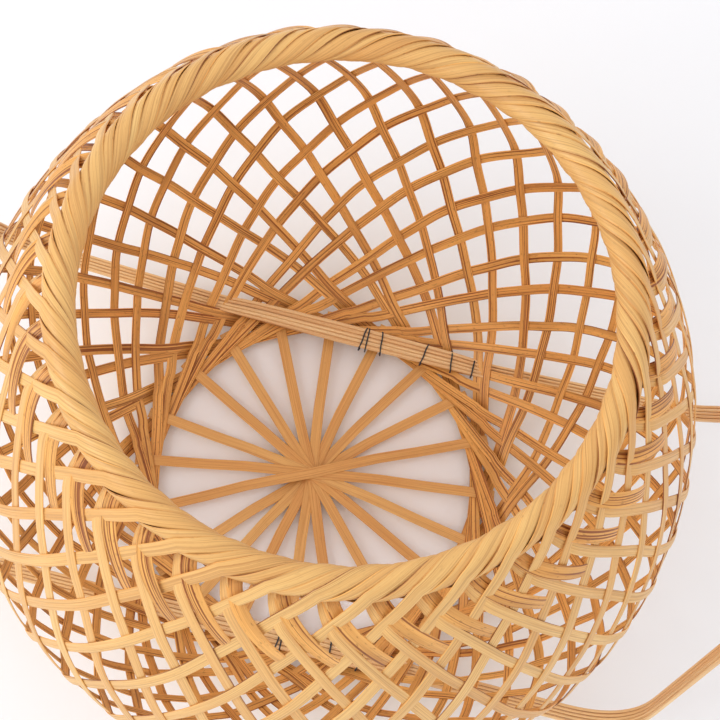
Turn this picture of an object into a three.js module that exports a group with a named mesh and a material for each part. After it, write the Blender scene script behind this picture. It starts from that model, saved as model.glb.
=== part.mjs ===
// A flower basket of flat bamboo strips, in millimetres, +Z up, standing on z = 0.
// Forty strips run from the rim down the wall, lie as tangents round the base hole
// and climb the wall again. Ten spokes cross under them, and two handle bars pass through the weave.
import * as THREE from 'three';
import { mergeVertices } from 'three/addons/utils/BufferGeometryUtils.js';

// Strips and weave
const STRIP_COUNT = 40;
const STRIP_WIDTH = 4.0;
const STRIP_THICKNESS = 0.5;
const LAYER_GAP = 0.3;
const WALL_LAYER_GAP = 0.6;

// Body
const BASE_HOLE_RADIUS = 62;
const BASE_FLAT_WIDTH = 10;
const BELLY_RADIUS = 127;
const BELLY_HEIGHT = 93;
const LOWER_CURVE_POWER = 1.5;
const UPPER_CURVE_POWER = 1.75;
const WALL_LEAN_RADIUS = 58.4;
const RIM_LEAN_RADIUS = 53;
const LEAN_EASE = 0.125;
const LEAN_POWER = 1.6;
const BELLY_SHARE = 0.5;
const BASE_SHARE_POWER = 1.6;
const BODY_TWIST_DEG = -2.5;
const TWIST_FROM_HEIGHT = 40;
const TWIST_TO_HEIGHT = 110;

// Rim roll, measured to its centre and its outer surface
const RIM_RADIUS = 83.2;
const RIM_HEIGHT = 203.4;
const RIM_ROLL_RADIUS = 5.1;
const RIM_WRAP_TURN_DEG = 172;
const RIM_WRAP_STEPS = 5;
const RIM_WRAP_ADVANCE_DEG = 11.5;
const RIM_CORE_SIDES = 8;
const RIM_CORE_STEPS = 80;
const TUCKED_END_FRACTION = 0.5;

// Spokes
const SPOKE_COUNT = 10;
const SPOKE_WIDTH = 4.2;
const SPOKE_THICKNESS = 0.4;
const SPOKE_LAYER_GAP = 0.26;
const SPOKE_TUCK = 14;
const TOP_SPOKE = 2;

// Handle bars
const BAR_WIDTH = 5.0;
const BAR_THICKNESS = 1.4;
const BAR_FLAT_HALF_LENGTH = 34;
const BACK_BAR_LINE = 61.6;
const BACK_PASS_ROW = 11;
const FRONT_BAR_LINE = 65.6;
const FRONT_PASS_ROW = 12;
const BAR_PASS_HALF_LENGTH = 8;
const BAR_PASS_BEND = 5;
const BAR_UNTWIST_LENGTH = 24;
const BAR_REACH = 136;
const BAR_OUTER_RISE = 3;
const BAR_BEND_LENGTH = 24;
const LEG_OUT_PER_UP = 0.18;
const LEG_IN_PER_UP = 0.293;
const LEG_JOIN_BEND = 12;
const BAR_PAIR_GAP = 0.5;
const HANDLE_HEIGHT = 425;
const HANDLE_SHOULDER = 105;
const HANDLE_CROWN = 98;
const BAR_END_GAP = 0.6;

// Lashings and bindings
const LASHING_DIAMETER = 0.8;
const LASHING_TURNS = 5;
const BACK_LASHING_START = 4;
const FRONT_LASHING_START = 1;
const LASHING_LENGTH = 24;
const BINDING_THICKNESS = 0.9;
const TOP_BINDING_LENGTH = 56;
const SIDE_BINDING_LENGTH = 26;
const CLEARANCE = 0.3;

// Sizes that follow from the ones above
const PITCH = (2 * Math.PI) / STRIP_COUNT;
const TANGENT_RADIUS = BASE_HOLE_RADIUS + STRIP_WIDTH / 2;
const FLAT_RADIUS = TANGENT_RADIUS + BASE_FLAT_WIDTH - STRIP_WIDTH / 2;
const CROSSING_RUN = TANGENT_RADIUS * Math.tan(PITCH / 2);
const STACK_SLOPE = (STRIP_THICKNESS + LAYER_GAP) / (2 * CROSSING_RUN);
const STACK_RUN = CROSSING_RUN + (STRIP_WIDTH * 1.04) / Math.sin(PITCH);
const STACK_HALF = STACK_SLOPE * STACK_RUN;
const WALL_LAYER = (STRIP_THICKNESS + WALL_LAYER_GAP) / 2;
const BASE_PLANE = SPOKE_THICKNESS + CLEARANCE + STACK_HALF + STRIP_THICKNESS / 2;
const RING_TOP = BASE_PLANE + STACK_HALF + STRIP_THICKNESS / 2;
const WRAP_RADIUS = RIM_ROLL_RADIUS - STRIP_THICKNESS / 2;

const BAMBOO = { color: 0xc8935a, roughness: 0.55, metalness: 0 };
const PALE_BAMBOO = { color: 0xd9b27c, roughness: 0.6, metalness: 0 };
const RATTAN = { color: 0xb98a52, roughness: 0.6, metalness: 0 };
const DARK_CORD = { color: 0x3c3b3a, roughness: 0.7, metalness: 0 };

const basket = new THREE.Group();

function addMesh(name, geometry, look) {
  const mesh = new THREE.Mesh(geometry, new THREE.MeshStandardMaterial(look));
  mesh.name = name;
  basket.add(mesh);
  return mesh;
}

// Joins rings of corner points into one closed body. Every ring has the same number of corners.
// A four-cornered face is cut along the diagonal that lies farther out, away from the inward directions.
function skin(rings, closed, inward) {
  const sides = rings[0].length;
  const positions = [];
  for (const ring of rings) {
    for (const p of ring) {
      positions.push(p.x, p.y, p.z);
    }
  }
  const index = [];
  const last = closed ? rings.length : rings.length - 1;
  for (let i = 0; i < last; i += 1) {
    const a = i * sides;
    const b = ((i + 1) % rings.length) * sides;
    for (let k = 0; k < sides; k += 1) {
      const n = (k + 1) % sides;
      const [here, there] = [rings[i], rings[(i + 1) % rings.length]];
      const shift = here[k].clone().add(there[n]).sub(here[n]).sub(there[k]);
      if (!inward || shift.dot(inward[i]) <= 0) {
        index.push(a + k, a + n, b + n, a + k, b + n, b + k);
      } else {
        index.push(a + k, a + n, b + k, a + n, b + n, b + k);
      }
    }
  }
  if (!closed) {
    const end = (rings.length - 1) * sides;
    for (let k = 1; k < sides - 1; k += 1) {
      index.push(0, k + 1, k);
      index.push(end, end + k, end + k + 1);
    }
  }
  const geometry = new THREE.BufferGeometry();
  geometry.setAttribute('position', new THREE.Float32BufferAttribute(positions, 3));
  geometry.setIndex(index);
  return mergeVertices(geometry, 1e-4);
}

// A flat strip: stations hold a centre point, a normal of the flat side and the running direction.
function flatStrip(stations, width, thickness) {
  const rings = stations.map((s) => {
    const normal = s.normal.clone().addScaledVector(s.along, -s.normal.dot(s.along)).normalize();
    const across = new THREE.Vector3().crossVectors(normal, s.along).normalize();
    const corner = (u, v) => s.point
      .clone()
      .addScaledVector(across, (u * width) / 2)
      .addScaledVector(normal, (v * thickness) / 2);
    return [corner(-1, -1), corner(1, -1), corner(1, 1), corner(-1, 1)];
  });
  const inward = stations.slice(1).map((s, i) => s.normal.clone().add(stations[i].normal));
  return skin(rings, false, inward);
}

// The wall's meridian: radius and height above the base plane, from the flat ring to the rim roll.
function rimMeeting() {
  let angle = 0.5;
  let radius = RIM_RADIUS;
  let height = RIM_HEIGHT;
  for (let i = 0; i < 40; i += 1) {
    radius = RIM_RADIUS + WRAP_RADIUS * Math.cos(angle);
    height = RIM_HEIGHT + WRAP_RADIUS * Math.sin(angle);
    angle = Math.atan((UPPER_CURVE_POWER * (BELLY_RADIUS - radius)) / (height - BELLY_HEIGHT));
  }
  return { angle, radius, height };
}
const MEET = rimMeeting();

// Half of the shares lie below the belly, closest together in the tight curve just above the base.
function meridian(share) {
  if (share < BELLY_SHARE) {
    const u = 1 - Math.pow(1 - share / BELLY_SHARE, BASE_SHARE_POWER);
    const out = Math.pow(1 - Math.pow(1 - u, LOWER_CURVE_POWER), 1 / LOWER_CURVE_POWER);
    return [FLAT_RADIUS + (BELLY_RADIUS - FLAT_RADIUS) * out, BASE_PLANE + (BELLY_HEIGHT - BASE_PLANE) * u];
  }
  const v = (share - BELLY_SHARE) / (1 - BELLY_SHARE);
  const r = BELLY_RADIUS - (BELLY_RADIUS - MEET.radius) * Math.pow(v, UPPER_CURVE_POWER);
  return [r, BELLY_HEIGHT + (MEET.height - BELLY_HEIGHT) * v];
}

// A strip on the flat base touches a circle, and higher up it leans as if it touched a smaller and smaller one.
function leanRadius(share) {
  if (share < LEAN_EASE) return TANGENT_RADIUS - (TANGENT_RADIUS - WALL_LEAN_RADIUS) * (share / LEAN_EASE);
  const above = Math.max(0, share - BELLY_SHARE) / (1 - BELLY_SHARE);
  return WALL_LEAN_RADIUS - (WALL_LEAN_RADIUS - RIM_LEAN_RADIUS) * Math.pow(above, LEAN_POWER);
}

function stripCourse() {
  const samples = [];
  const flatRun = Math.sqrt(FLAT_RADIUS ** 2 - TANGENT_RADIUS ** 2);
  const flatSamples = 80;
  for (let i = 0; i <= flatSamples; i += 1) {
    const s = (flatRun * i) / flatSamples;
    samples.push({ r: Math.hypot(TANGENT_RADIUS, s), z: BASE_PLANE, turn: Math.atan2(s, TANGENT_RADIUS), run: s });
  }
  const wallSamples = 1600;
  let [r0, z0] = [FLAT_RADIUS, BASE_PLANE];
  let turn = samples[flatSamples].turn;
  let run = flatRun;
  for (let i = 1; i <= wallSamples; i += 1) {
    const [r1, z1] = meridian(i / wallSamples);
    const step = Math.hypot(r1 - r0, z1 - z0);
    const middle = (r0 + r1) / 2;
    const touched = leanRadius(i / wallSamples);
    const climb = Math.sqrt(1 - (touched / middle) ** 2);
    turn += (step / climb) * (touched / middle ** 2);
    run += step / climb;
    samples.push({ r: r1, z: z1, turn, run });
    [r0, z0] = [r1, z1];
  }
  return samples;
}
const COURSE = stripCourse();
const COURSE_LENGTH = COURSE[COURSE.length - 1].run;

function courseAt(run) {
  let low = 0;
  let high = COURSE.length - 1;
  while (high - low > 1) {
    const middle = (low + high) >> 1;
    if (COURSE[middle].run <= run) low = middle;
    else high = middle;
  }
  const a = COURSE[low];
  const b = COURSE[high];
  const f = (run - a.run) / (b.run - a.run);
  const length = Math.hypot(b.r - a.r, b.z - a.z) || 1;
  return {
    r: a.r + (b.r - a.r) * f,
    z: a.z + (b.z - a.z) * f,
    turn: a.turn + (b.turn - a.turn) * f,
    upR: (b.r - a.r) / length,
    upZ: (b.z - a.z) / length,
  };
}

// How far along its course a strip has turned by a given angle.
function runAtTurn(turn) {
  const next = COURSE.findIndex((c) => c.turn > turn);
  const a = COURSE[next - 1];
  const b = COURSE[next];
  return a.run + ((b.run - a.run) * (turn - a.turn)) / (b.turn - a.turn);
}

// The strips bend midway between two crossings. The first bend is where the stack round the hole ends.
function bendRuns() {
  const runs = [STACK_RUN];
  for (let k = 1; PITCH * (k + 0.25) < COURSE[COURSE.length - 1].turn - PITCH / 4; k += 1) {
    const run = runAtTurn(PITCH * (k + 0.25));
    if (run > STACK_RUN + STRIP_WIDTH) runs.push(run);
  }
  runs.push(COURSE_LENGTH);
  return runs;
}
const RUNS = bendRuns();
const WALL_STEPS = RUNS.length - 1;

// Distance of a strip's middle from the wall's middle surface: stacked round the hole, two layers above.
function layerOffset(run) {
  if (run <= STACK_RUN) return STACK_SLOPE * run;
  const ease = Math.min(1, (run - STACK_RUN) / STACK_RUN);
  const smooth = ease * ease * (3 - 2 * ease);
  return STACK_HALF + (WALL_LAYER - STACK_HALF) * smooth;
}

// The whole wall is turned a little round the middle as it rises.
function twistAt(z) {
  const ease = Math.min(1, Math.max(0, (z - TWIST_FROM_HEIGHT) / (TWIST_TO_HEIGHT - TWIST_FROM_HEIGHT)));
  return ((BODY_TWIST_DEG * Math.PI) / 180) * ease * ease * (3 - 2 * ease);
}

// side +1 leans one way and lies outside, side -1 leans the other way and lies inside.
function wallPoint(run, side, offset, phase) {
  const c = courseAt(run);
  const angle = phase + side * c.turn + twistAt(c.z);
  const radial = new THREE.Vector3(Math.cos(angle), Math.sin(angle), 0);
  const inward = radial.clone().multiplyScalar(-c.upZ).add(new THREE.Vector3(0, 0, c.upR));
  const point = radial.multiplyScalar(c.r).add(new THREE.Vector3(0, 0, c.z));
  return { point: point.addScaledVector(inward, -side * offset), normal: inward };
}

function wallStation(run, side, offset, phase) {
  const { point, normal } = wallPoint(run, side, offset, phase);
  const reach = 0.5;
  const ahead = wallPoint(Math.min(run + reach, COURSE_LENGTH), side, offset, phase).point;
  const behind = wallPoint(Math.max(run - reach, 0), side, offset, phase).point;
  return { point, normal, along: ahead.sub(behind).multiplyScalar(side).normalize() };
}

function stripStations(phase) {
  const runs = RUNS;
  const stations = [];
  // The tucked end: the last step is cut short on its own straight line.
  const topOffset = 2 * WALL_LAYER;
  const before = wallStation(runs[WALL_STEPS - 1], -1, layerOffset(runs[WALL_STEPS - 1]), phase);
  const top = wallStation(runs[WALL_STEPS], -1, topOffset, phase);
  stations.push({
    point: before.point.clone().lerp(top.point, TUCKED_END_FRACTION),
    normal: before.normal.clone().lerp(top.normal, TUCKED_END_FRACTION),
    along: before.along.clone().lerp(top.along, TUCKED_END_FRACTION).normalize(),
  });
  for (let i = WALL_STEPS - 1; i >= 0; i -= 1) {
    stations.push(wallStation(runs[i], -1, layerOffset(runs[i]), phase));
  }
  for (let i = 0; i < WALL_STEPS; i += 1) {
    stations.push(wallStation(runs[i], 1, layerOffset(runs[i]), phase));
  }
  // The other end rises outside the roll, passes over it and goes down inside.
  const meetTurn = courseAt(COURSE_LENGTH).turn;
  const advance = (RIM_WRAP_ADVANCE_DEG * Math.PI) / 180;
  const turnAngle = (RIM_WRAP_TURN_DEG * Math.PI) / 180;
  for (let i = 0; i <= RIM_WRAP_STEPS; i += 1) {
    const share = i / RIM_WRAP_STEPS;
    const rise = MEET.angle + turnAngle * share;
    const angle = phase + meetTurn + twistAt(RIM_HEIGHT) + advance * share;
    const radial = new THREE.Vector3(Math.cos(angle), Math.sin(angle), 0);
    const round = new THREE.Vector3(-Math.sin(angle), Math.cos(angle), 0);
    const out = radial.clone().multiplyScalar(Math.cos(rise)).add(new THREE.Vector3(0, 0, Math.sin(rise)));
    const over = radial.clone().multiplyScalar(-Math.sin(rise)).add(new THREE.Vector3(0, 0, Math.cos(rise)));
    const r = RIM_RADIUS + WRAP_RADIUS * Math.cos(rise);
    const along = over.clone().multiplyScalar(WRAP_RADIUS * turnAngle).addScaledVector(round, r * advance);
    const point = radial.clone().multiplyScalar(RIM_RADIUS).add(new THREE.Vector3(0, 0, RIM_HEIGHT));
    point.addScaledVector(out, WRAP_RADIUS);
    stations.push({ point, normal: out.clone().negate(), along: along.normalize() });
  }
  return stations;
}

for (let i = 0; i < STRIP_COUNT; i += 1) {
  const name = `strip_${String(i + 1).padStart(2, '0')}`;
  addMesh(name, flatStrip(stripStations(PITCH * (i + 0.5)), STRIP_WIDTH, STRIP_THICKNESS), BAMBOO);
}

// The ring that the strips' ends are wound on. Its corners stay clear of the turns' straight steps.
const wrapHalfStep = ((RIM_WRAP_TURN_DEG / RIM_WRAP_STEPS) * Math.PI) / 360;
const coreRadius = (WRAP_RADIUS - STRIP_THICKNESS / 2) * Math.cos(wrapHalfStep) - CLEARANCE;
const coreGeometry = new THREE.TorusGeometry(RIM_RADIUS, coreRadius, RIM_CORE_SIDES, RIM_CORE_STEPS);
coreGeometry.deleteAttribute('normal');
coreGeometry.deleteAttribute('uv');
const core = addMesh('rim_core', mergeVertices(coreGeometry, 1e-4), BAMBOO);
core.position.z = RIM_HEIGHT;

// Spokes: flat on the table under the ring, climbing to a stack where they cross.
const spokeFlat = SPOKE_THICKNESS / 2;
const spokeEnd = FLAT_RADIUS + SPOKE_TUCK - BASE_FLAT_WIDTH;
const spokeFoot = BASE_HOLE_RADIUS - STRIP_WIDTH;
const crossingReach = (SPOKE_WIDTH * 1.1) / Math.sin(Math.PI / SPOKE_COUNT);
for (let i = 0; i < SPOKE_COUNT; i += 1) {
  const angle = (Math.PI * (i + 0.5)) / SPOKE_COUNT;
  const direction = new THREE.Vector3(Math.cos(angle), Math.sin(angle), 0);
  const order = (i + SPOKE_COUNT - TOP_SPOKE) % SPOKE_COUNT;
  const layer = spokeFlat + order * (SPOKE_THICKNESS + SPOKE_LAYER_GAP);
  const marks = [
    [-spokeEnd, spokeFlat],
    [-spokeFoot, spokeFlat],
    [-crossingReach, layer],
    [crossingReach, layer],
    [spokeFoot, spokeFlat],
    [spokeEnd, spokeFlat],
  ];
  const points = marks.map(([d, z]) => direction.clone().multiplyScalar(d).add(new THREE.Vector3(0, 0, z)));
  const stations = points.map((point, k) => {
    const next = points[Math.min(k + 1, points.length - 1)];
    const previous = points[Math.max(k - 1, 0)];
    const along = k === 0 || k === points.length - 1 ? direction.clone() : next.clone().sub(previous).normalize();
    return { point, normal: new THREE.Vector3(0, 0, 1), along };
  });
  addMesh(`spoke_${String(i + 1).padStart(2, '0')}`, flatStrip(stations, SPOKE_WIDTH, SPOKE_THICKNESS), BAMBOO);
}

// Handle bars. The middle lies on the lashing on the ring. Each bar leaves the body through a window of the
// weave: the last one of its row that is no more than an eighth of a turn from the X axis.
const barLow = RING_TOP + 2 * CLEARANCE + LASHING_DIAMETER + BAR_THICKNESS / 2;

function barPassage(row) {
  const windowShift = row % 2 === 0 ? 0 : PITCH / 2;
  const angle = windowShift + PITCH * Math.floor((Math.PI / 4 - windowShift) / PITCH + 1e-6);
  const turn = (row * PITCH) / 2;
  return wallStation(runAtTurn(turn), -1, 0, angle + turn);
}
const BACK = { line: BACK_BAR_LINE, passage: barPassage(BACK_PASS_ROW) };
const FRONT = { line: FRONT_BAR_LINE, passage: barPassage(FRONT_PASS_ROW) };
for (const bar of [BACK, FRONT]) {
  bar.tilt = Math.atan2(-bar.passage.normal.y, bar.passage.normal.z);
  bar.bendHeight = bar.passage.point.z + BAR_OUTER_RISE;
}

// The two bars come together midway between their lines.
const pairMiddle = (BACK.passage.point.y - FRONT.passage.point.y) / 2;
const pairOffset = (BAR_WIDTH + BAR_PAIR_GAP) / 2;
const legUp = ((BACK.passage.point.y + FRONT.passage.point.y) / 2 - pairOffset) / LEG_IN_PER_UP;
const joinX = BAR_REACH + LEG_OUT_PER_UP * legUp;
const joinZ = (BACK.bendHeight + FRONT.bendHeight) / 2 + legUp;

// Rounds the corners of a line of points. Each corner has its own bend length.
function rounded(points, bends, steps) {
  const out = [points[0]];
  for (let i = 1; i < points.length - 1; i += 1) {
    const a = points[i - 1].clone().sub(points[i]);
    const b = points[i + 1].clone().sub(points[i]);
    const reach = Math.min(bends[i - 1], a.length() * 0.45, b.length() * 0.45);
    const start = points[i].clone().addScaledVector(a.normalize(), reach);
    const end = points[i].clone().addScaledVector(b.normalize(), reach);
    const bend = new THREE.QuadraticBezierCurve3(start, points[i], end);
    out.push(...bend.getPoints(steps));
  }
  out.push(points[points.length - 1]);
  return out;
}

// One half of a bar, from the middle of the base to its end at the top of the handle, for a bar on the +Y side.
// It passes inside the wall's middle where the crossing strips lie inside, and outside where they lie outside.
function barHalf(bar, side, middleY) {
  const pass = bar.passage.point.clone().addScaledVector(bar.passage.normal, -side * WALL_LAYER);
  // Half of the shift sideways is enough to lie midway between the neighbouring strips.
  pass.y = (pass.y + bar.passage.point.y) / 2;
  const y = middleY + pairOffset;
  const low = rounded(
    [
      new THREE.Vector3(0, bar.line, barLow),
      new THREE.Vector3(BAR_FLAT_HALF_LENGTH, bar.line, barLow),
      new THREE.Vector3(pass.x - BAR_PASS_HALF_LENGTH, pass.y, pass.z),
      new THREE.Vector3(pass.x + BAR_PASS_HALF_LENGTH, pass.y, pass.z),
      new THREE.Vector3(BAR_REACH, pass.y, bar.bendHeight),
      new THREE.Vector3(joinX, y, joinZ),
      new THREE.Vector3(joinX + LEG_OUT_PER_UP * 2 * LEG_JOIN_BEND, y, joinZ + 2 * LEG_JOIN_BEND),
    ],
    [BAR_PASS_BEND, BAR_PASS_BEND, BAR_PASS_BEND, BAR_BEND_LENGTH, LEG_JOIN_BEND],
    4,
  );
  low.pop();
  const shoulder = new THREE.Vector3(joinX + LEG_OUT_PER_UP * LEG_JOIN_BEND, y, joinZ + LEG_JOIN_BEND);
  const arch = new THREE.CubicBezierCurve3(
    shoulder,
    new THREE.Vector3(shoulder.x + LEG_OUT_PER_UP * HANDLE_SHOULDER, y, shoulder.z + HANDLE_SHOULDER),
    new THREE.Vector3(HANDLE_CROWN, y, HANDLE_HEIGHT - BAR_THICKNESS / 2),
    new THREE.Vector3(BAR_END_GAP / 2, y, HANDLE_HEIGHT - BAR_THICKNESS / 2),
  );
  return [...low, ...arch.getPoints(14)];
}

function stationsAlong(points, widthHint) {
  return points.map((point, k) => {
    const next = points[Math.min(k + 1, points.length - 1)];
    const previous = points[Math.max(k - 1, 0)];
    const along = next.clone().sub(previous).normalize();
    const across = widthHint.clone().addScaledVector(along, -widthHint.dot(along)).normalize();
    return { point, along, across, normal: new THREE.Vector3().crossVectors(along, across).normalize() };
  });
}

// The family of strips that crosses a bar lies inside at one end of the bar, and outside at its other end.
const mirrorX = (p) => new THREE.Vector3(-p.x, p.y, p.z);
const mirrorY = (p) => new THREE.Vector3(p.x, -p.y, p.z);
const half = barHalf(BACK, 1, pairMiddle);
const backLine = [...barHalf(BACK, -1, pairMiddle).slice(1).reverse().map(mirrorX), ...half];
const frontRight = barHalf(FRONT, -1, -pairMiddle).map(mirrorY);
const frontLeft = barHalf(FRONT, 1, -pairMiddle).map(mirrorY).map(mirrorX);
const frontLine = [...frontLeft.slice(1).reverse(), ...frontRight];
const acrossY = new THREE.Vector3(0, 1, 0);

// The flat bar turns with the slope of the wall where it passes between the strips.
function barTilt(bar, point) {
  if (point.z > bar.bendHeight) return 0;
  const fromPass = Math.abs(point.x) - bar.passage.point.x;
  const before = bar.passage.point.x - BAR_FLAT_HALF_LENGTH;
  const reach = fromPass < 0 ? before : BAR_UNTWIST_LENGTH + BAR_PASS_HALF_LENGTH;
  const share = Math.max(0, Math.abs(fromPass) - BAR_PASS_HALF_LENGTH) / (reach - BAR_PASS_HALF_LENGTH);
  return bar.tilt * Math.max(0, 1 - share);
}

function barStations(line, bar, side) {
  return stationsAlong(line, acrossY).map((s) => {
    const tilt = side * barTilt(bar, s.point);
    return { point: s.point, along: s.along, normal: s.normal.clone().applyAxisAngle(s.along, tilt) };
  });
}
addMesh('handle_bar_back', flatStrip(barStations(backLine, BACK, 1), BAR_WIDTH, BAR_THICKNESS), PALE_BAMBOO);
addMesh('handle_bar_front', flatStrip(barStations(frontLine, FRONT, -1), BAR_WIDTH, BAR_THICKNESS), PALE_BAMBOO);

// A lashing is one cord wound round its bar, four corners to a turn.
function lashing(middleY, start) {
  const reachY = BAR_WIDTH / 2 + CLEARANCE + LASHING_DIAMETER / 2;
  const reachZ = BAR_THICKNESS / 2 + CLEARANCE + LASHING_DIAMETER / 2;
  const corners = [[1, -1], [1, 1], [-1, 1], [-1, -1]];
  const points = [];
  for (let k = 0; k <= LASHING_TURNS * 4; k += 1) {
    const x = start + (LASHING_LENGTH * k) / (LASHING_TURNS * 4);
    const [u, v] = corners[k % 4];
    points.push(new THREE.Vector3(x, middleY + u * reachY, barLow + v * reachZ));
  }
  const rings = points.map((point, k) => {
    const next = points[Math.min(k + 1, points.length - 1)];
    const previous = points[Math.max(k - 1, 0)];
    const along = next.clone().sub(previous).normalize();
    const first = new THREE.Vector3(1, 0, 0).addScaledVector(along, -along.x).normalize();
    const second = new THREE.Vector3().crossVectors(along, first);
    const ring = [];
    for (let n = 0; n < 6; n += 1) {
      const a = (n * Math.PI) / 3;
      const corner = point.clone().addScaledVector(first, (Math.cos(a) * LASHING_DIAMETER) / 2);
      ring.push(corner.addScaledVector(second, (Math.sin(a) * LASHING_DIAMETER) / 2));
    }
    return ring;
  });
  return skin(rings, false);
}
addMesh('lashing_back', lashing(BACK_BAR_LINE, BACK_LASHING_START), DARK_CORD);
addMesh('lashing_front', lashing(-FRONT_BAR_LINE, FRONT_LASHING_START), DARK_CORD);

// A binding is a sleeve round both bars, following their line.
function binding(points) {
  const line = points.map((p) => new THREE.Vector3(p.x, pairMiddle, p.z));
  const innerY = BAR_WIDTH + BAR_PAIR_GAP / 2 + CLEARANCE;
  const innerZ = BAR_THICKNESS / 2 + CLEARANCE;
  const rings = stationsAlong(line, acrossY).map((s) => {
    const corner = (y, z) => s.point.clone().addScaledVector(s.across, y).addScaledVector(s.normal, z);
    const y = innerY + BINDING_THICKNESS;
    const z = innerZ + BINDING_THICKNESS;
    return {
      inner: [corner(-innerY, -innerZ), corner(innerY, -innerZ), corner(innerY, innerZ), corner(-innerY, innerZ)],
      outer: [corner(-y, -z), corner(y, -z), corner(y, z), corner(-y, z)],
    };
  });
  const loops = [...rings.map((r) => r.outer), ...rings.map((r) => r.inner).reverse()];
  return skin(loops, true);
}

// Points of the bar's line within a stretch, with the stretch's own ends added.
function stretch(line, from, to) {
  const curve = new THREE.CurvePath();
  for (let i = 1; i < line.length; i += 1) curve.add(new THREE.LineCurve3(line[i - 1], line[i]));
  const total = curve.getLength();
  const lengths = curve.getCurveLengths();
  const marks = [from, ...lengths.filter((l) => l > from + 1 && l < to - 1), to];
  return marks.map((l) => curve.getPointAt(Math.min(1, l / total)));
}

function lengthTo(line, test) {
  let length = 0;
  for (let i = 1; i < line.length; i += 1) {
    if (test(line[i - 1])) break;
    length += line[i].distanceTo(line[i - 1]);
  }
  return length;
}
const joinLength = lengthTo(half, (p) => p.z > joinZ + LEG_JOIN_BEND * 0.9);
const halfLength = lengthTo(half, () => false);
const rightJoin = stretch(half, joinLength, joinLength + SIDE_BINDING_LENGTH);
addMesh('binding_right', binding(rightJoin), RATTAN);
addMesh('binding_left', binding(rightJoin.map(mirrorX).reverse()), RATTAN);
const crownRight = stretch(half, halfLength - TOP_BINDING_LENGTH / 2, halfLength - BAR_END_GAP);
addMesh('binding_top', binding([...crownRight, ...crownRight.slice().reverse().map(mirrorX)]), RATTAN);

export default basket;
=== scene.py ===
"""A flower basket of flat bamboo strips with a two-bar handle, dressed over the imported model."""
import math

import bpy
import numpy as np
from mathutils import Matrix, Vector


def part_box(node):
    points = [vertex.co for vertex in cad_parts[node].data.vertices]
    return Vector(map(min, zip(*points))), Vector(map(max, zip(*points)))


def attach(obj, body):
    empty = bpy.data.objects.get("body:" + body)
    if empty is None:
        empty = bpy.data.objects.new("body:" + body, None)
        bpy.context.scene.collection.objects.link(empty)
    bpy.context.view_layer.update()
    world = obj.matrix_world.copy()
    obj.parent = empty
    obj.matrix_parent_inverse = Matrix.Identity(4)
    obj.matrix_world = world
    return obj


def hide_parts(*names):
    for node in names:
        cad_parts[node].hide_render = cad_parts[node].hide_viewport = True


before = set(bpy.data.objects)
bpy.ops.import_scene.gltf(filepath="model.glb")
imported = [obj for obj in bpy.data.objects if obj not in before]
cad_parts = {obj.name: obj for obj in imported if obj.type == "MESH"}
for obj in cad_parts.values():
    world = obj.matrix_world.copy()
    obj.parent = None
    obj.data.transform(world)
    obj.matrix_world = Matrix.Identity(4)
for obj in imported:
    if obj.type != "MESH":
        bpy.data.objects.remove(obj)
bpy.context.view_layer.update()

# Sizes are in millimetres and angles in degrees.
# These are the model's own values. Those that it works out are rounded here.
STRIP_COUNT = 40
STRIP_WIDTH = 4.0
STRIP_THICKNESS = 0.5
PITCH = 360 / STRIP_COUNT
TANGENT_RADIUS = 64
FLAT_RADIUS = 72
BELLY_HEIGHT = 93
BELLY_SHARE = 0.5
BASE_SHARE_POWER = 1.6
LOWER_CURVE_POWER = 1.5
UPPER_CURVE_POWER = 1.75
BASE_PLANE = 3.46
WALL_LEAN_RADIUS = 58.4
RIM_LEAN_RADIUS = 53
LEAN_EASE = 0.125
LEAN_POWER = 1.6
BODY_TWIST = -2.5
TWIST_FROM_HEIGHT = 40
TWIST_TO_HEIGHT = 110
STACK_SLOPE = 0.0794
STACK_RUN = 31.6
RIM_RADIUS = 83.2
RIM_HEIGHT = 203.4
RIM_ROLL_RADIUS = 5.1
MEET_ANGLE = 31.6
MEET_RADIUS = 87.33
MEET_HEIGHT = 205.94
BAR_THICKNESS = 1.4
BACK_BAR_LINE = 61.6
BACK_PASS_ROW = 11
BACK_PASS_ANGLE = 40.5
FRONT_BAR_LINE = 65.6
FRONT_PASS_ROW = 12
FRONT_PASS_ANGLE = 45
BAR_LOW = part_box("handle_bar_back")[0][2] * 1000 + BAR_THICKNESS / 2
BAR_REACH = 136
BAR_OUTER_RISE = 3
BAR_BEND_LENGTH = 24
LEG_OUT_PER_UP = 0.18
LEG_IN_PER_UP = 0.293
LEG_JOIN_BEND = 12
HANDLE_HEIGHT = 425
HANDLE_SHOULDER = 105
HANDLE_CROWN = 98
HALF_GAP_AT_TOP = 0.3

# A little less than the model's, so that the woven strips stay inside its box
BELLY_RADIUS = 125.8

# The strips' weave and unevenness
STRIP_STEP = 1.8
STRIP_CROWN = 0.12
STRIP_LEAST_WIDTH = 0.94
STRIP_WIDTH_SPREAD = 0.12
FLAT_SAMPLES = 80
WALL_SAMPLES = 1600
SLOPE_REACH = 0.4
LEVEL_RUN = 10
WEAVE_DEPTH = 0.3
STACK_FADE = 15
LAST_ROW = 25
WOBBLE = 0.3
WOBBLE_FULL_RUN = 60
WOBBLE_LEAST = 0.15
WAVES_PER_STRIP = 3
WAVE_SIZES = (0.2, 1)
WAVE_LENGTHS = (45, 150)
WAVE_STARTS = (0, 6.3)
WAVE_SEED = 100
LINE_SEED = 500
WIDTH_SEED = 900

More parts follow.
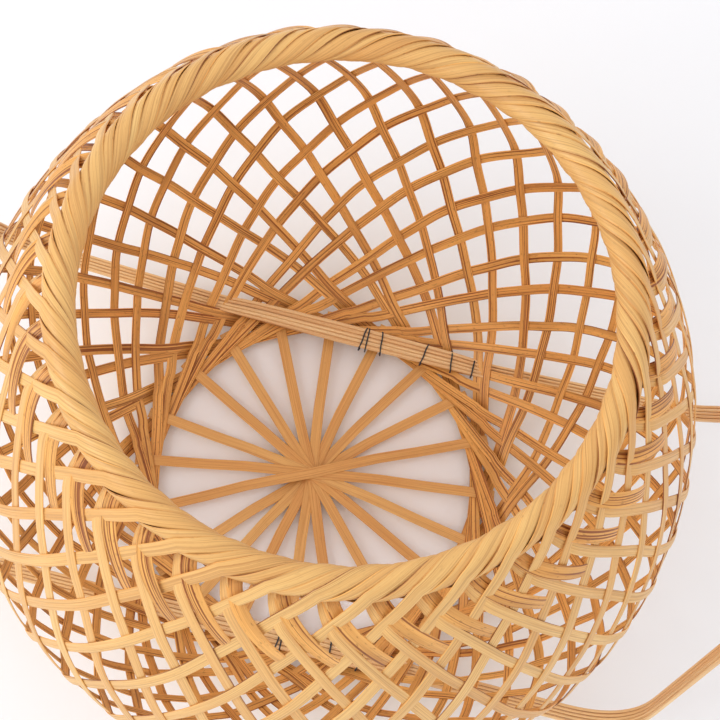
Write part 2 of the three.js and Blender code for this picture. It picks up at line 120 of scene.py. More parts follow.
# The falling half's end, which tucks in under the rim
FALLING_LEAVES_ROW = 23.7
FALLING_LEAVES_HANDLE = 5
FALLING_END_TURN = 113
FALLING_END_SPREAD = 0.5
FALLING_END_RADIUS = 85.5
FALLING_END_HEIGHT = 199.2
FALLING_END_OUT = 2.5
FALLING_END_DOWN = 1.5
FALLING_END_STEPS = 9
FALLING_END_FACING_UP = 0.5

# The rising half's end, which goes round the rim
ROPE_TURN = 613
ROPE_STEP = 10.0
ROPE_ADVANCE_PER_TURN = 33.06
ROPE_WIDTH = 5.0
ROPE_CROWN = 0.7
ROPE_CROWN_RISES = 45
ROPE_CROWN_FALLS = 60
ROPE_SPREAD = (0.7, 1.3)
ROPE_SECOND_FROM = 200
ROPE_SECOND_EASE = 160
ROPE_SECOND_DEPTH = 0.3
ROPE_SECOND_SPREAD = (0.4, 1.6)
ROPE_SHINGLE = 12
RIM_EASE_LENGTH = 10
# Points before and after its start over which a strip widens, and before its end where it narrows again
WIDEN_BEFORE = 8
WIDEN_AFTER = 6
NARROW_BEFORE = 4

# Its tail, which comes out below the rim and goes back into the wall
TAIL_ROW = 22.5
TAIL_INSET = 0.9
TAIL_TURN = 11.9
TAIL_TURN_SPREAD = 0.8
TAIL_STAND = 5
TAIL_STAND_SPREAD = (0.8, 1.25)
TAIL_FIRST_HANDLE = 5
TAIL_LAST_HANDLE = 10
TAIL_LAST_LIFT = 2
TAIL_STEPS = 23
TAIL_CROWN = 0.1
# How far outward and up its pith faces, half-way and at the end
TAIL_MIDDLE_FACING = (0.7, 0.7)
TAIL_END_FACING = (0.85, 0.52)

# The spokes. Each leans a little from its even place, by the angles at its two ends.
SPOKE_COUNT = 10
SPOKE_WIDTH = 4.2
SPOKE_THICKNESS = 0.4
SPOKE_END = 72
SPOKE_CENTRE = (-1.9, 1.9)
SPOKE_CENTRE_PULL = 1.6
SPOKE_LAYER_STEP = 0.42
SPOKE_LEANS = [
    (0.8, -0.7), (1.4, -1.3), (-0.1, 1.1), (-1.6, -2.0), (-0.5, -3.7),
    (-0.5, -3.5), (-0.1, -6.0), (0.6, -2.2), (-0.9, 1.7), (1.1, 0.7),
]
SPOKE_LAYERS = [9, 10, 1, 2, 3, 4, 5, 6, 7, 8]
# A spoke lies in the pile in the middle, then goes up over the ring's inner edge and down among its strips
SPOKE_DISTANCES = [0, 14, 44, 60, 64, 67, 72]
SPOKE_OUTER_HEIGHTS = [3.7, 4.2, 4.35, 3.6, 3.4]
SPOKE_SAMPLES = 61

# The bars: wider than the model's, and nearer the base where they leave the basket
BAR_WIDTH = 6.6
BAR_PAIR_SPACING = 6.7
BAR_PASS_SIDESTEP = 0.275
BAR_LEAVES = 57
BAR_DIVE_LENGTH = 14
BAR_DIVE_HEIGHT = 7
BAR_DIVE_BEND = 10
BAR_TILT_SHARE = 0.25
BAR_TILT_LENGTH = 30
BAR_STEP = 3.0
BAR_SPREAD = 0.3
BEND_STEPS = 14
BEND_MOST_SHARE = 0.45
ARCH_STEPS = 60
SPLINT_COUNT = 5
SPLINT_FILL = 0.93
SPLINT_CROWN = 0.2
SPLINT_UNEVENNESS = 0.1
SPLINT_UNEVEN_STEP = 2.1

# The ties' places along each bar, and how their threads lie round it
BACK_TIES = [4.2, 6.0, 11.9, 30.0, 41.3, 50.6]
FRONT_TIES = [2.1, 3.3, 22.3, 34.5, 46.5]
THREAD_RADIUS = 0.3
TIE_STEPS = 40
TIE_SQUARENESS = 0.55
TIE_SIDE_ROOM = 0.45
TIE_ABOVE = 0.35
TIE_BELOW = 3.2
TIE_LEAN = 0.9
TIE_LEAN_STEP = 2.3

# The bindings round both bars
LEG_BINDING_LENGTH = 26
LEG_BINDING_START = 0.9
TOP_BINDING_HALF = 28
BINDING_PITCH = 2.3
BINDING_STEPS = 24
BINDING_SIDE_ROOM = 0.6
BINDING_TOP_ROOM = 0.5
BINDING_SIDE_SQUARENESS = 0.45
BINDING_TOP_SQUARENESS = 0.6
BINDING_WIDTH = 2.35
BINDING_THICKNESS = 0.55

# Each ribbon's grain has a number of its own. Those of the strips start at 1, and the others' after these.
SPOKE_GRAIN = 60
SPLINT_GRAIN = 80
TIE_GRAIN = 200
BINDING_GRAIN = 300

METRES_PER_MM = 0.001


def colour(red, green, blue):
    """An sRGB colour of 0 to 255 as the linear values that a shader takes."""
    channels = [c / 255 for c in (red, green, blue)]
    linear = [c / 12.92 if c <= 0.04045 else ((c + 0.055) / 1.055) ** 2.4 for c in channels]
    return (*linear, 1.0)


def unit(vectors):
    """The vectors at length 1."""
    return vectors / np.linalg.norm(vectors, axis=-1, keepdims=True)


def smoothstep(share):
    """A share of 0 to 1 with a level start and end."""
    return share * share * (3 - 2 * share)


# Camera and light, in metres and degrees
CAMERA_PLACE = (0.0122292, -0.179384, 0.6594965)
CAMERA_LOOK_DOWN = 70.4175
CAMERA_LOOK_ROUND = 91.7401
CAMERA_ROLL = 12.8443
CAMERA_LENS_MM = 85
CAMERA_SENSOR_MM = 36
WORLD_STRENGTH = 0.98
FLOOR_HALF = 3.0
FLOOR_FADE_START = 0.3
FLOOR_FADE_END = 1.1


def add_camera():
    down = math.radians(CAMERA_LOOK_DOWN)
    turn = math.radians(CAMERA_LOOK_ROUND)
    ahead = Vector((math.cos(down) * math.cos(turn), math.cos(down) * math.sin(turn), -math.sin(down)))
    level = ahead.cross(Vector((0, 0, 1))).normalized()
    above = level.cross(ahead)
    level_frame = Matrix((level, above, -ahead)).transposed()
    roll = Matrix.Rotation(math.radians(CAMERA_ROLL), 3, "Z")
    data = bpy.data.cameras.new("camera")
    data.lens = CAMERA_LENS_MM
    data.sensor_width = CAMERA_SENSOR_MM
    data.clip_start = 0.01
    camera = bpy.data.objects.new("camera", data)
    camera.matrix_world = Matrix.Translation(CAMERA_PLACE) @ (level_frame @ roll).to_4x4()
    bpy.context.collection.objects.link(camera)
    bpy.context.scene.camera = camera


def add_light(name, place, aim, size, power):
    data = bpy.data.lights.new(name, "AREA")
    data.size = size
    data.energy = power
    lamp = bpy.data.objects.new(name, data)
    lamp.location = place
    lamp.rotation_euler = (Vector(aim) - Vector(place)).to_track_quat("-Z", "Y").to_euler()
    bpy.context.collection.objects.link(lamp)


def background_rays(nodes, links):
    """1 for the rays that see the background: from the camera, off glossy surfaces and through glass."""
    path = nodes.new("ShaderNodeLightPath")
    seen = path.outputs["Is Camera Ray"]
    for ray in ("Is Glossy Ray", "Is Transmission Ray"):
        either = nodes.new("ShaderNodeMath")
        either.operation = "MAXIMUM"
        links.new(seen, either.inputs[0])
        links.new(path.outputs[ray], either.inputs[1])
        seen = either.outputs[0]
    return seen


def add_world():
    """Plain soft light from all round, before a white background."""
    world = bpy.data.worlds.new("studio")
    world.use_nodes = True
    nodes = world.node_tree.nodes
    links = world.node_tree.links
    nodes.clear()
    out = nodes.new("ShaderNodeOutputWorld")
    soft = nodes.new("ShaderNodeBackground")
    soft.inputs["Color"].default_value = colour(250, 249, 252)
    soft.inputs["Strength"].default_value = WORLD_STRENGTH
    white = nodes.new("ShaderNodeBackground")
    white.inputs["Color"].default_value = (1, 1, 1, 1)
    white.inputs["Strength"].default_value = 1
    mix = nodes.new("ShaderNodeMixShader")
    links.new(background_rays(nodes, links), mix.inputs["Fac"])
    links.new(soft.outputs[0], mix.inputs[1])
    links.new(white.outputs[0], mix.inputs[2])
    links.new(mix.outputs[0], out.inputs["Surface"])
    bpy.context.scene.world = world


def add_floor():
    """A pale floor. Far from the basket it turns plain white, so that no edge of it shows."""
    mesh = bpy.data.meshes.new("floor")
    corners = [(x * FLOOR_HALF, y * FLOOR_HALF, 0) for x, y in ((-1, -1), (1, -1), (1, 1), (-1, 1))]
    mesh.from_pydata(corners, [], [(0, 1, 2, 3)])
    floor = bpy.data.objects.new("floor", mesh)
    bpy.context.collection.objects.link(floor)
    material = bpy.data.materials.new("floor")
    material.use_nodes = True
    nodes = material.node_tree.nodes
    links = material.node_tree.links
    shader = nodes["Principled BSDF"]
    shader.inputs["Base Color"].default_value = colour(248, 249, 250)
    shader.inputs["Roughness"].default_value = 0.9
    shader.inputs["Specular IOR Level"].default_value = 0.1
    place = nodes.new("ShaderNodeTexCoord")
    distance = nodes.new("ShaderNodeVectorMath")
    distance.operation = "LENGTH"
    links.new(place.outputs["Object"], distance.inputs[0])
    fade = nodes.new("ShaderNodeMapRange")
    fade.interpolation_type = "SMOOTHSTEP"
    fade.inputs["From Min"].default_value = FLOOR_FADE_START
    fade.inputs["From Max"].default_value = FLOOR_FADE_END
    links.new(distance.outputs["Value"], fade.inputs["Value"])
    seen = nodes.new("ShaderNodeMath")
    seen.operation = "MULTIPLY"
    links.new(fade.outputs["Result"], seen.inputs[0])
    links.new(background_rays(nodes, links), seen.inputs[1])
    white = nodes.new("ShaderNodeEmission")
    mix = nodes.new("ShaderNodeMixShader")
    links.new(seen.outputs[0], mix.inputs["Fac"])
    links.new(shader.outputs[0], mix.inputs[1])
    links.new(white.outputs[0], mix.inputs[2])
    links.new(mix.outputs[0], nodes["Material Output"].inputs["Surface"])
    mesh.materials.append(material)


# Bamboo's noises: their scales along and across a strip, per metre, and from one strip to the next
FIBRE_SCALE = (30, 2900, 31)
LINE_SCALE = (9, 1700, 47)
PATCH_SCALE = (22, 220, 57)
SPOT_SCALE = (420, 1500, 13)
TONE_SCALE = (4, 0, 91)
TONE_COLOUR = colour(232, 196, 158)
FIBRE_COLOUR = colour(208, 158, 108)
PATCH_COLOUR = colour(158, 128, 96)
SPOT_COLOUR = colour(120, 78, 46)
FIBRE_RELIEF = 0.00012


def bamboo(name, pith, skin, line_colour, lines=0.6, speckle=0.3, bump=0.35):
    """Split bamboo. Fibres run along it, a few of them dark, and its skin is cleaner than its pith."""
    material = bpy.data.materials.new(name)
    material.use_nodes = True
    nodes = material.node_tree.nodes
    links = material.node_tree.links
    shader = nodes["Principled BSDF"]
    grain = nodes.new("ShaderNodeAttribute")
    grain.attribute_name = "grain"
    skin_side = nodes.new("ShaderNodeAttribute")
    skin_side.attribute_name = "skin"

    def noise(scale, detail, roughness=0.5):
        stretch = nodes.new("ShaderNodeVectorMath")
        stretch.operation = "MULTIPLY"
        stretch.inputs[1].default_value = scale
        links.new(grain.outputs["Vector"], stretch.inputs[0])
        texture = nodes.new("ShaderNodeTexNoise")
        texture.inputs["Scale"].default_value = 1
        texture.inputs["Detail"].default_value = detail
        texture.inputs["Roughness"].default_value = roughness
        links.new(stretch.outputs[0], texture.inputs["Vector"])
        return texture.outputs["Fac"]

    def ramp(value, low, high, start=0.0, end=1.0):
        mapped = nodes.new("ShaderNodeMapRange")
        mapped.inputs["From Min"].default_value = low
        mapped.inputs["From Max"].default_value = high
        mapped.inputs["To Min"].default_value = start
        mapped.inputs["To Max"].default_value = end
        links.new(value, mapped.inputs["Value"])
        return mapped.outputs["Result"]

    def scaled(first, second):
        node = nodes.new("ShaderNodeMath")
        node.operation = "MULTIPLY"
        links.new(first, node.inputs[0])
        links.new(second, node.inputs[1])
        return node.outputs[0]

    def mix(factor, first, second, blend="MULTIPLY"):
        node = nodes.new("ShaderNodeMix")
        node.data_type = "RGBA"
        node.blend_type = blend
        links.new(factor, node.inputs["Factor"])
        for index, value in ((6, first), (7, second)):
            if isinstance(value, tuple):
                node.inputs[index].default_value = value
            else:
                links.new(value, node.inputs[index])
        return node.outputs[2]

    fibres = noise(FIBRE_SCALE, 3, 0.6)
    dark_lines = noise(LINE_SCALE, 2, 0.55)
    patches = noise(PATCH_SCALE, 3)
    spots = noise(SPOT_SCALE, 2)
    tone = noise(TONE_SCALE, 1)
    on_pith = ramp(skin_side.outputs["Fac"], low=0, high=1, start=1, end=0.28)
    ground = mix(skin_side.outputs["Fac"], pith, skin, blend="MIX")
    toned = mix(ramp(tone, low=0.32, high=0.68, end=0.55), ground, TONE_COLOUR)
    fibred = mix(ramp(fibres, low=0.34, high=0.62, start=0.42, end=0.0), toned, FIBRE_COLOUR)
    lined = mix(scaled(ramp(dark_lines, low=0.53, high=0.6, end=lines), on_pith), fibred, line_colour)
    shaded = mix(scaled(ramp(patches, low=0.42, high=0.7, end=speckle), on_pith), lined, PATCH_COLOUR)
    spotted = mix(scaled(ramp(spots, low=0.6, high=0.72, end=speckle), on_pith), shaded, SPOT_COLOUR)
    links.new(spotted, shader.inputs["Base Color"])
    links.new(ramp(fibres, low=0.3, high=0.7, start=0.56, end=0.34), shader.inputs["Roughness"])
    relief = nodes.new("ShaderNodeBump")
    relief.inputs["Strength"].default_value = bump
    relief.inputs["Distance"].default_value = FIBRE_RELIEF
    links.new(fibres, relief.inputs["Height"])
    links.new(relief.outputs["Normal"], shader.inputs["Normal"])
    return material


def cord_material():
    """Dark twisted thread."""
    material = bpy.data.materials.new("dark_cord")
    material.use_nodes = True
    nodes = material.node_tree.nodes
    links = material.node_tree.links
    shader = nodes["Principled BSDF"]
    shader.inputs["Roughness"].default_value = 0.8
    grain = nodes.new("ShaderNodeAttribute")
    grain.attribute_name = "grain"
    twist = nodes.new("ShaderNodeTexWave")
    twist.bands_direction = "DIAGONAL"
    twist.inputs["Scale"].default_value = 900
    links.new(grain.outputs["Vector"], twist.inputs["Vector"])
    shades = nodes.new("ShaderNodeValToRGB")
    shades.color_ramp.elements[0].color = colour(36, 36, 40)
    shades.color_ramp.elements[1].color = colour(78, 78, 84)
    links.new(twist.outputs["Fac"], shades.inputs["Fac"])
    links.new(shades.outputs["Color"], shader.inputs["Base Color"])
    return material


STRIP_LOOK = bamboo(
    "strip_bamboo",
    pith=colour(252, 197, 110),
    skin=colour(243, 201, 126),
    line_colour=colour(152, 102, 54),
    lines=0.9,
    speckle=0.45,
)
SPOKE_LOOK = bamboo(
    "spoke_bamboo",
    pith=colour(240, 193, 118),
    skin=colour(240, 193, 118),
    line_colour=colour(205, 150, 96),
    lines=0.3,
    speckle=0.12,
    bump=0.12,
)
BAR_LOOK = bamboo(
    "bar_bamboo",
    pith=colour(252, 220, 166),
    skin=colour(252, 220, 166),
    line_colour=colour(176, 122, 74),
    lines=0.6,
    speckle=0.12,
)
# The ring inside the rim: dark brown, painted shade for the grooves between the rim's turns
CORE_SHADE_LOOK = bamboo(
    "core_painted_shade",
    pith=colour(150, 96, 48),
    skin=colour(150, 96, 48),
    line_colour=colour(110, 66, 32),
)
RATTAN_LOOK = bamboo(
    "rattan",
    pith=colour(206, 150, 90),
    skin=colour(222, 172, 108),
    line_colour=colour(150, 98, 54),
)
CORD_LOOK = cord_material()


# Flat ribbons. A ribbon's section has a rounded outer face, and its inner face follows it.
SECTION_ACROSS = np.array([-0.5, -0.47, -0.32, 0, 0.32, 0.47, 0.5, 0.47, 0.32, 0, -0.32, -0.47])
SECTION_OUT = np.array([0, 0.36, 0.5, 0.53, 0.5, 0.36, 0, -0.36, -0.5, -0.5, -0.5, -0.36])
SKIN_FACES = (1, 2, 3, 4)
SHARP_EDGE_ANGLE = 40


def ribbon(point, inward, width, thickness, crown=0.0, seed=0.0):
    """Vertices, faces and attributes of one closed ribbon. All its arguments are in millimetres."""
    count = len(point)
    along = unit(np.gradient(point, axis=0))
    across = unit(np.cross(along, inward))
    inward = np.cross(across, along)
    width = np.broadcast_to(width, count)[:, None]
    thickness = np.broadcast_to(thickness, count)[:, None]
    crown = np.broadcast_to(crown, count)[:, None]
    side = SECTION_ACROSS[None] * width
    out = SECTION_OUT[None] * thickness + crown * (1 - 4 * SECTION_ACROSS[None] ** 2)
    points = point[:, None] + across[:, None] * side[..., None] - inward[:, None] * out[..., None]
    sides = len(SECTION_ACROSS)
    ring = np.arange(count - 1)[:, None] * sides
    here = np.arange(sides)[None]
    ahead = (here + 1) % sides
    quads = np.stack([ring + here, ring + sides + here, ring + sides + ahead, ring + ahead], -1)
    run = np.concatenate([[0], np.cumsum(np.linalg.norm(np.diff(point, axis=0), axis=1))])
    strip = np.full((1, 1), float(seed))
    grain = np.broadcast_arrays(run[:, None] * METRES_PER_MM, side * METRES_PER_MM, strip)
    return {
        "points": points.reshape(-1, 3),
        "quads": quads.reshape(-1, 4),
        "ends": [list(range(sides)), [(count - 1) * sides + k for k in range(sides)][::-1]],
        "skin": np.tile(np.isin(np.arange(sides), SKIN_FACES).astype(float), count - 1),
        "grain": np.stack(grain, -1).reshape(-1, 3),
    }


def make_piece(name, parts, material, node):
    """One object from one or more closed ribbons, which stands for a CAD node."""
    points = []
    faces = []
    skin = []
    grain = []
    offset = 0
    for part in parts:
        points.append(part["points"])
        grain.append(part["grain"])
        faces += (part["quads"] + offset).tolist()
        skin.append(part["skin"])
        for end in part["ends"]:
            faces.append([k + offset for k in end])
            skin.append([0.0])
        offset += len(part["points"])
    mesh = bpy.data.meshes.new(name)
    mesh.from_pydata((np.concatenate(points) * METRES_PER_MM).tolist(), [], faces)
    grain_values = mesh.attributes.new("grain", "FLOAT_VECTOR", "POINT").data
    grain_values.foreach_set("vector", np.concatenate(grain).ravel())
    skin_values = mesh.attributes.new("skin", "FLOAT", "FACE").data
    skin_values.foreach_set("value", np.concatenate(skin))
    mesh.shade_smooth()
    mesh.set_sharp_from_angle(angle=math.radians(SHARP_EDGE_ANGLE))
    mesh.materials.append(material)
    piece = bpy.data.objects.new(name, mesh)
    bpy.context.collection.objects.link(piece)
    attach(piece, "root")
    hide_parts(node)


# The strips' common course over the base and up the wall
def meridian(share):
    """Radius and height of the wall's middle, at a share of the way from the base to the rim."""
    low = np.minimum(share, BELLY_SHARE) / BELLY_SHARE
    lift = 1 - (1 - low) ** BASE_SHARE_POWER
    bulge = (1 - (1 - lift) ** LOWER_CURVE_POWER) ** (1 / LOWER_CURVE_POWER)
    high = np.maximum(share - BELLY_SHARE, 0) / (1 - BELLY_SHARE)
    low_radius = FLAT_RADIUS + (BELLY_RADIUS - FLAT_RADIUS) * bulge
    high_radius = BELLY_RADIUS - (BELLY_RADIUS - MEET_RADIUS) * high**UPPER_CURVE_POWER
    low_height = BASE_PLANE + (BELLY_HEIGHT - BASE_PLANE) * lift
    high_height = BELLY_HEIGHT + (MEET_HEIGHT - BELLY_HEIGHT) * high
    below = share < BELLY_SHARE
    return np.where(below, low_radius, high_radius), np.where(below, low_height, high_height)


def lean_radius(share):
    """A strip touches a circle of this radius, and it leans less and less as the circle shrinks."""
    low = TANGENT_RADIUS - (TANGENT_RADIUS - WALL_LEAN_RADIUS) * share / LEAN_EASE
    above = np.maximum(share - BELLY_SHARE, 0) / (1 - BELLY_SHARE)
    high = WALL_LEAN_RADIUS - (WALL_LEAN_RADIUS - RIM_LEAN_RADIUS) * above**LEAN_POWER
    return np.where(share < LEAN_EASE, low, high)


def strip_course():
    """Radius, height and turn round the basket, against the distance from the strip's middle."""
    flat_run = np.linspace(0, math.sqrt(FLAT_RADIUS**2 - TANGENT_RADIUS**2), FLAT_SAMPLES)
    share = np.linspace(0, 1, WALL_SAMPLES + 1)
    radius, height = meridian(share)
    step = np.hypot(np.diff(radius), np.diff(height))
    middle = (radius[1:] + radius[:-1]) / 2
    touched = lean_radius(share[1:])
    climb = np.sqrt(1 - (touched / middle) ** 2)
    run = flat_run[-1] + np.cumsum(step / climb)
    turn = math.atan2(flat_run[-1], TANGENT_RADIUS) + np.cumsum(step / climb * touched / middle**2)
    return {
        "run": np.concatenate([flat_run, run]),
        "radius": np.concatenate([np.hypot(TANGENT_RADIUS, flat_run), radius[1:]]),
        "height": np.concatenate([np.full(FLAT_SAMPLES, BASE_PLANE), height[1:]]),
        "turn": np.concatenate([np.arctan2(flat_run, TANGENT_RADIUS), turn]),
    }


COURSE = strip_course()
COURSE_LENGTH = COURSE["run"][-1]
COURSE_TURN = COURSE["turn"][-1]


def course_at(run):
    """Radius, height and turn at a place on the course, and the wall's direction up there."""
    values = [np.interp(run, COURSE["run"], COURSE[key]) for key in ("radius", "height", "turn")]
    ahead = [np.interp(run + SLOPE_REACH, COURSE["run"], COURSE[key]) for key in ("radius", "height")]
    behind = [np.interp(run - SLOPE_REACH, COURSE["run"], COURSE[key]) for key in ("radius", "height")]
    up_r = ahead[0] - behind[0]
    up_z = ahead[1] - behind[1]
    length = np.hypot(up_r, up_z) + 1e-9
    return (*values, up_r / length, up_z / length)


def run_at_turn(turn):
    """How far along the course a strip has turned by an angle."""
    return np.interp(turn, COURSE["turn"], COURSE["run"])


def run_at_row(row):
    """How far along the course a row of crossings lies."""
    return run_at_turn(math.radians(row * PITCH / 2))


def twist_at(height):
    """The whole wall is turned a little round the middle as it rises."""
    share = np.clip((height - TWIST_FROM_HEIGHT) / (TWIST_TO_HEIGHT - TWIST_FROM_HEIGHT), 0, 1)
    return math.radians(BODY_TWIST) * smoothstep(share)


def phase_of(index):
    """Where round the basket a strip lies against the hole, as an angle."""
    return math.radians(PITCH * (index + 0.5))


def polar(radius, angle, height):
    """Points at an angle round the basket's middle."""
    return np.stack([radius * np.cos(angle), radius * np.sin(angle), height], -1)


def outward(angle):
    """The level direction away from the basket's middle."""
    return polar(np.array(1.0), np.array(angle), np.array(0.0))


UP = np.array([0, 0, 1.0])

# Hand-made unevenness. The strips lie in pairs near the base, and neither family keeps to its even course.
# Shifts are in degrees, against the distance along the course.
SHIFT_RUNS = [0, 30, 50, 64, 86, 110, 133, 152, 174, 220, 245, 270, 300, 314]
RISING_SHIFT = [0, 0, -0.3, -1.1, -1.1, -0.6, -0.2, 0.6, 0.9, 0.7, 0.7, 0, -0.3, 0]
FALLING_SHIFT = [0, 0.8, 1.9, 2.1, 2.4, 2.2, 1.0, 0.2, -1.3, -1.2, -0.4, 0.2, 0.2, 0.2]
RISING_PAIR = [2.1, 2.4, 2.7, 2.1, 1.0, 0.2, 0, 0, 0, 0, 0, 0, 0, 0]
FALLING_PAIR = [2.1, 1.5, 0.9, 1.0, 0.6, 0.3, 0.5, 0.5, 0.2, 0, 0, 0, 0, 0]
SHIFT_MARGIN = 30
SHIFT_PLACES = np.arange(-SHIFT_MARGIN, COURSE_LENGTH + SHIFT_MARGIN)
SHIFT_ROUNDING = 21


def smooth_shift(values):
    """The shifts on an even row of places 1 mm apart, with their corners rounded off."""
    window = np.hanning(SHIFT_ROUNDING)
    return np.convolve(np.interp(SHIFT_PLACES, SHIFT_RUNS, values), window / window.sum(), "same")


SHIFTS = {1: smooth_shift(RISING_SHIFT), -1: smooth_shift(FALLING_SHIFT)}
PAIRS = {1: smooth_shift(RISING_PAIR), -1: smooth_shift(FALLING_PAIR)}


def strip_waves(number):
    """Size, length and start of each of a strip's slow waves."""
    random = np.random.RandomState(WAVE_SEED + number)
    return [
        (random.uniform(*WAVE_SIZES) * WOBBLE, random.uniform(*WAVE_LENGTHS), random.uniform(*WAVE_STARTS))
        for _ in range(WAVES_PER_STRIP)
    ]


WAVES = [strip_waves(number) for number in range(STRIP_COUNT)]


def shift_at(index, side, run):
    """How far round the basket a strip lies from its even place, as an angle."""
    pair = 1 if index % 2 == 0 else -1
    degrees = np.interp(run, SHIFT_PLACES, SHIFTS[side]) + pair * np.interp(run, SHIFT_PLACES, PAIRS[side])
    waves = [size * np.sin(side * run / length * 2 * math.pi + start) for size, length, start in WAVES[index]]
    growth = np.clip(run / WOBBLE_FULL_RUN, WOBBLE_LEAST, 1)
    return np.radians(degrees) + sum(waves) * growth / course_at(run)[0]


# Over and under. A rising strip lies outside the first pairs of falling strips, but for one of them.
# Then the strips go over one and under one, and just below the rim a rising strip is mostly inside.
FIRST_PAIRS = 5
PAIR_GONE_INSIDE = 4
RIM_ROWS_START = 19
RIM_ROWS_OUTSIDE = (20, 21, 25)


def rising_inside(index, row):
    """Whether the rising strip lies inside the falling one where they cross."""
    pairs = (index + row) // 2 - index // 2
    if pairs <= FIRST_PAIRS:
        return pairs == PAIR_GONE_INSIDE
    if row < RIM_ROWS_START:
        return row % 2 == 0
    return row not in RIM_ROWS_OUTSIDE


def crossings(index, side):
    """The runs at which a strip crosses the other family, and +1 where it lies inside or -1 where outside."""
    runs = []
    layers = []
    for row in range(1, LAST_ROW + 1):
        rising = index if side > 0 else (index - row) % STRIP_COUNT
        falling = index if side < 0 else (index + row) % STRIP_COUNT
        run = run_at_row(row)
        gap = shift_at(falling, -1, run) - shift_at(rising, 1, run)
        runs.append(run_at_turn(math.radians(row * PITCH / 2) + gap / 2))
        layers.append(side if rising_inside(rising, row) else -side)
    return np.array(runs), np.array(layers)


def inset_at(index, side, run):
    """Distance inward from the wall's middle: stacked round the hole, over and under above it."""
    places, layers = crossings(index, side)
    following = np.clip(np.searchsorted(places, run), 1, len(places) - 1)
    share = np.clip((run - places[following - 1]) / (places[following] - places[following - 1]), 0, 1)
    ease = smoothstep(share)
    weave = layers[following - 1] * (1 - ease) + layers[following] * ease
    fade = smoothstep(np.clip((run - STACK_RUN) / STACK_FADE, 0, 1))
    return WEAVE_DEPTH * weave * fade - side * STACK_SLOPE * np.minimum(run, STACK_RUN) * (1 - fade)


def strip_half(index, side, run, inset):
    """Points on a strip's course and the directions inward there."""
    radius, height, turn, up_r, up_z = course_at(run)
    angle = phase_of(index) + side * turn + twist_at(height) + shift_at(index, side, run)
    upward = np.where(run < LEVEL_RUN, 1, up_r)
    inward = unit(np.stack([-up_z * np.cos(angle), -up_z * np.sin(angle), upward], -1))
    return polar(radius, angle, height) + inward * inset[..., None], inward


def bezier(corners, share):
    """Points on a curve with four control points."""
    share = share[:, None]
    weights = ((1 - share) ** 3, 3 * share * (1 - share) ** 2, 3 * share**2 * (1 - share), share**3)
    return sum(weight * np.asarray(corner) for weight, corner in zip(weights, corners))


def falling_end(index, down, down_in, random):
    """The falling half's last stretch, from its end under the rim to where it joins the weave."""
    turn = math.radians(FALLING_END_TURN + random.uniform(-FALLING_END_SPREAD, FALLING_END_SPREAD))
    out = outward(phase_of(index) - turn)
    end = out * FALLING_END_RADIUS + UP * FALLING_END_HEIGHT
    corners = [
        down[0],
        down[0] + unit(down[0] - down[1]) * FALLING_LEAVES_HANDLE,
        end + out * FALLING_END_OUT - UP * FALLING_END_DOWN,
        end,
    ]
    share = np.linspace(1, 0, FALLING_END_STEPS + 1)[:-1]
    facing = down_in[0] * (1 - share[:, None]) + (UP * FALLING_END_FACING_UP - out) * share[:, None]
    return bezier(corners, share), unit(facing)


def rim_turns(index, random):
    """Round the rim. The second turn lies a little deeper, and each has one edge on its neighbour."""
    rise = np.arange(0, ROPE_TURN + 1, ROPE_STEP)
    crown = ROPE_CROWN * random.uniform(*ROPE_SPREAD) * np.clip(rise / ROPE_CROWN_RISES, 0, 1)
    crown = crown * np.clip((ROPE_TURN - rise) / ROPE_CROWN_FALLS, 0, 1)
    second = np.clip((rise - ROPE_SECOND_FROM) / ROPE_SECOND_EASE, 0, 1)
    depth = ROPE_SECOND_DEPTH * second * random.uniform(*ROPE_SECOND_SPREAD)
    roll = RIM_ROLL_RADIUS - STRIP_THICKNESS / 2 - crown - depth
    start = phase_of(index) + COURSE_TURN + twist_at(RIM_HEIGHT) + shift_at(index, 1, COURSE_LENGTH)
    angle = start + np.radians(ROPE_ADVANCE_PER_TURN) * rise / 360
    tilt = np.radians(MEET_ANGLE + rise)
    rope = polar(RIM_RADIUS + roll * np.cos(tilt), angle, RIM_HEIGHT + roll * np.sin(tilt))
    inward = -polar(np.cos(tilt), angle, np.sin(tilt))
    shingle = math.radians(ROPE_SHINGLE) * random.uniform(*ROPE_SPREAD) * crown[:, None] / crown.max()
    sideways = np.cross(unit(np.gradient(rope, axis=0)), inward)
    return rope, inward * np.cos(shingle) + sideways * np.sin(shingle), crown, angle[-1]


def rim_tail(rope_end, rope_end_in, rope_angle, random):
    """The end comes out below the rim, stands off the wall and goes under a rising strip."""
    tail_turn = math.radians(TAIL_TURN + random.uniform(-TAIL_TURN_SPREAD, TAIL_TURN_SPREAD))
    first_out = outward(rope_angle)
    last_out = outward(rope_angle + tail_turn)
    radius, height, _, up_r, up_z = course_at(run_at_row(TAIL_ROW))
    end = last_out * (radius - TAIL_INSET * up_z) + UP * (height + TAIL_INSET * up_r)
    stand = TAIL_STAND * random.uniform(*TAIL_STAND_SPREAD)
    corners = [
        rope_end,
        rope_end + first_out * (stand + TAIL_FIRST_HANDLE) + UP,
        end + unit(rope_end - end) * TAIL_LAST_HANDLE + last_out * stand + UP * TAIL_LAST_LIFT,
        end,
    ]
    share = np.linspace(0, 1, TAIL_STEPS + 1)[1:]
    weights = np.stack([(1 - share) ** 2, 2 * share * (1 - share), share**2], -1)
    middle_in = first_out * TAIL_MIDDLE_FACING[0] + UP * TAIL_MIDDLE_FACING[1]
    end_in = last_out * TAIL_END_FACING[0] + UP * TAIL_END_FACING[1]
    return bezier(corners, share), unit(weights @ np.stack([rope_end_in, middle_in, end_in]))


